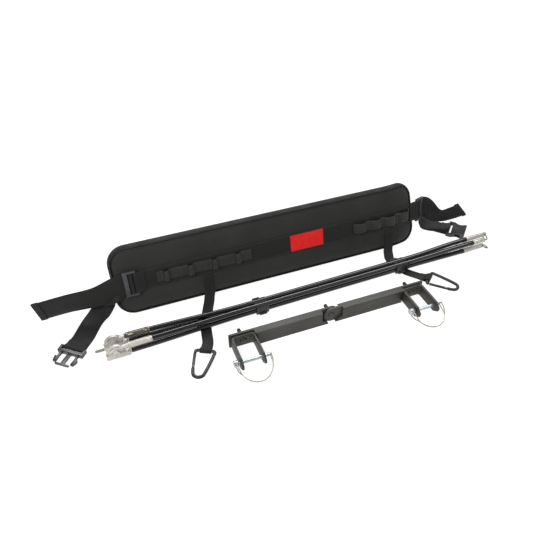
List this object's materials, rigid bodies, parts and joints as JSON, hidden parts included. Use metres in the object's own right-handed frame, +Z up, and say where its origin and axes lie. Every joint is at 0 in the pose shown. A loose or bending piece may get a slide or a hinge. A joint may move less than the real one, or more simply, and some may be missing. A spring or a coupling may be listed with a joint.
{
  "type": "sled-pulling harness kit",
  "caption": "Padded waist belt with webbing, side-release buckle and carabiners, a bundle of folded tow poles, and a jointed hitch bar with clevises and wire-lock pins.",
  "frame": {"origin": "On the floor, at the middle of the kit's length and depth as it is laid out.", "axes": "+X along the belt and the folded poles, towards the female buckle; +Y from the hitch bar towards the belt; +Z up from the floor that the kit lies on."},
  "size_m": [1.1513, 0.374, 0.1675],
  "materials": {
    "foam_cloth": "woven nylon over foam",
    "webbing": "woven polypropylene webbing",
    "label_cloth": "red woven patch, bare",
    "buckle_plastic": "grey moulded acetal",
    "clip_plastic": "black moulded",
    "rod_fibreglass": "black glass-fibre rod",
    "cast_aluminium": "cast and turned aluminium",
    "zinc_steel": "bright zinc plate",
    "hitch_steel": "dark brown-grey powder coat",
    "carabiner_steel": "dark blackened steel"
  },
  "bodies": {
    "belt": {"belt_pad": "foam_cloth", "belt_webbing": "webbing", "daisy_chain_left": "webbing", "daisy_chain_right": "webbing", "label_patch": "label_cloth", "ladder_lock_left": "buckle_plastic", "ladder_lock_right": "buckle_plastic", "adjust_strap_left": "webbing", "adjust_strap_right": "webbing", "drop_strap_left": "webbing", "drop_strap_right": "webbing"},
    "buckle_male": {"male_buckle": "buckle_plastic"},
    "prong_left": {"male_prong_left": "buckle_plastic"},
    "prong_right": {"male_prong_right": "buckle_plastic"},
    "buckle_female": {"female_buckle": "buckle_plastic"},
    "carabiner_left": {"carabiner_left": "carabiner_steel", "gate_pin_left": "zinc_steel"},
    "carabiner_right": {"carabiner_right": "carabiner_steel", "gate_pin_right": "zinc_steel"},
    "gate_left": {"gate_left": "carabiner_steel"},
    "gate_right": {"gate_right": "carabiner_steel"},
    "pole_bundle": {"rod_rear_bottom": "rod_fibreglass", "rod_front_bottom": "rod_fibreglass", "knuckle_block_rear": "cast_aluminium", "knuckle_block_front": "cast_aluminium", "knuckle_pin_rear": "zinc_steel", "knuckle_pin_front": "zinc_steel", "knuckle_stud": "zinc_steel", "pole_clip_left": "clip_plastic", "pole_clip_right": "clip_plastic", "tube_end_rear": "cast_aluminium", "eye_end_front": "cast_aluminium"},
    "pole_top_rear": {"rod_rear_top": "rod_fibreglass", "knuckle_disc_rear": "cast_aluminium", "ferrule_rear": "cast_aluminium", "eye_end_rear": "cast_aluminium"},
    "pole_top_front": {"rod_front_top": "rod_fibreglass", "knuckle_disc_front": "cast_aluminium", "ferrule_front": "cast_aluminium", "tube_end_front": "cast_aluminium"},
    "ring_rear": {"pull_ring_rear": "zinc_steel"},
    "ring_front": {"pull_ring_front": "zinc_steel"},
    "hitch_left": {"hitch_bar_left": "hitch_steel", "hitch_bolt_left": "hitch_steel", "hitch_bolt_centre": "hitch_steel", "hitch_nut_left": "zinc_steel", "hitch_nut_centre": "zinc_steel"},
    "hitch_right": {"hitch_bar_right": "hitch_steel", "hitch_bolt_right": "hitch_steel", "hitch_nut_right": "zinc_steel"},
    "clevis_left": {"clevis_left": "hitch_steel"},
    "clevis_right": {"clevis_right": "hitch_steel"},
    "lock_pin_left": {"lock_pin_left": "zinc_steel"},
    "lock_pin_right": {"lock_pin_right": "zinc_steel"},
    "bail_left": {"pin_bail_left": "zinc_steel"},
    "bail_right": {"pin_bail_right": "zinc_steel"}
  },
  "joints": [
    {"name": "male_buckle_turn", "type": "hinge", "parent": "belt", "child": "buckle_male", "pos_m": [-0.5045, 0.044, 0.005], "axis": [-0.7826, 0.6225, 0], "range_deg": [0, 90]},
    {"name": "prong_left_squeeze", "type": "hinge", "parent": "buckle_male", "child": "prong_left", "pos_m": [-0.5303, 0.04369, 0.005], "axis": [0, 0, 1], "range_deg": [0, 7], "stiffness_Nm_per_rad": 0.02},
    {"name": "prong_right_squeeze", "type": "hinge", "parent": "buckle_male", "child": "prong_right", "pos_m": [-0.499, 0.01879, 0.005], "axis": [0, 0, -1], "range_deg": [0, 7], "stiffness_Nm_per_rad": 0.02},
    {"name": "female_buckle_turn", "type": "hinge", "parent": "belt", "child": "buckle_female", "pos_m": [0.5175, 0.118, 0.005], "axis": [-0.7193, -0.6947, 0], "range_deg": [0, 55]},
    {"name": "carabiner_left_swing", "type": "hinge", "parent": "belt", "child": "carabiner_left", "pos_m": [-0.2375, -0.066, 0.00635], "axis": [-0.891, 0.454, 0], "range_deg": [0, 90]},
    {"name": "carabiner_right_swing", "type": "hinge", "parent": "belt", "child": "carabiner_right", "pos_m": [0.3485, -0.039, 0.00635], "axis": [-0.766, -0.6428, 0], "range_deg": [0, 90]},
    {"name": "gate_left_open", "type": "hinge", "parent": "carabiner_left", "child": "gate_left", "pos_m": [-0.27425, -0.09892, 0.00635], "axis": [0, 0, -1], "range_deg": [0, 25], "stiffness_Nm_per_rad": 0.05, "springref_deg": -11.46},
    {"name": "gate_right_open", "type": "hinge", "parent": "carabiner_right", "child": "gate_right", "pos_m": [0.36445, -0.08569, 0.00635], "axis": [0, 0, -1], "range_deg": [0, 25], "stiffness_Nm_per_rad": 0.05, "springref_deg": -11.46},
    {"name": "poles_lift_off", "type": "slide", "parent": "belt", "child": "pole_bundle", "axis": [0, 0, 1], "range_m": [0, 0.2]},
    {"name": "rear_pole_unfold", "type": "hinge", "parent": "pole_bundle", "child": "pole_top_rear", "pos_m": [-0.41983, 0.0185, 0.0198], "axis": [0.0227, -0.9997, 0], "range_deg": [0, 140]},
    {"name": "front_pole_unfold", "type": "hinge", "parent": "pole_bundle", "child": "pole_top_front", "pos_m": [-0.41917, -0.0105, 0.0198], "axis": [0.0227, -0.9997, 0], "range_deg": [0, 140]},
    {"name": "rear_ring_swing", "type": "hinge", "parent": "pole_top_rear", "child": "ring_rear", "pos_m": [0.56773, 0.03591, 0.0299], "axis": [0.0227, -0.9997, 0], "range_deg": [0, 120]},
    {"name": "front_ring_swing", "type": "hinge", "parent": "pole_bundle", "child": "ring_front", "pos_m": [0.55017, 0.0165, 0.0109], "axis": [0.0227, -0.9997, 0], "range_deg": [0, 80]},
    {"name": "hitch_lift_off", "type": "slide", "parent": "belt", "child": "hitch_left", "axis": [0, 0, 1], "range_m": [0, 0.2]},
    {"name": "hitch_fold", "type": "hinge", "parent": "hitch_left", "child": "hitch_right", "pos_m": [0.0585, -0.07, 0.019], "axis": [0, -1, 0], "range_deg": [0, 80]},
    {"name": "clevis_left_swivel", "type": "hinge", "parent": "hitch_left", "child": "clevis_left", "pos_m": [-0.1545, -0.0733, 0.019], "axis": [0, -1, 0], "range_deg": [-90, 90]},
    {"name": "clevis_right_swivel", "type": "hinge", "parent": "hitch_right", "child": "clevis_right", "pos_m": [0.2705, -0.0733, 0.019], "axis": [0, -1, 0], "range_deg": [-90, 90]},
    {"name": "lock_pin_left_turn", "type": "hinge", "parent": "clevis_left", "child": "lock_pin_left", "pos_m": [-0.1545, -0.1353, 0.019], "axis": [-1, 0, 0], "range_deg": [0, 110]},
    {"name": "lock_pin_right_turn", "type": "hinge", "parent": "clevis_right", "child": "lock_pin_right", "pos_m": [0.2705, -0.1353, 0.019], "axis": [-1, 0, 0], "range_deg": [0, 110]},
    {"name": "bail_left_release", "type": "hinge", "parent": "lock_pin_left", "child": "bail_left", "pos_m": [-0.1905, -0.1353, 0.019], "axis": [0, 0.2756, -0.9613], "range_deg": [0, 100]},
    {"name": "bail_right_release", "type": "hinge", "parent": "lock_pin_right", "child": "bail_right", "pos_m": [0.2345, -0.1353, 0.019], "axis": [0, 0.2756, -0.9613], "range_deg": [0, 100]}
  ]
}
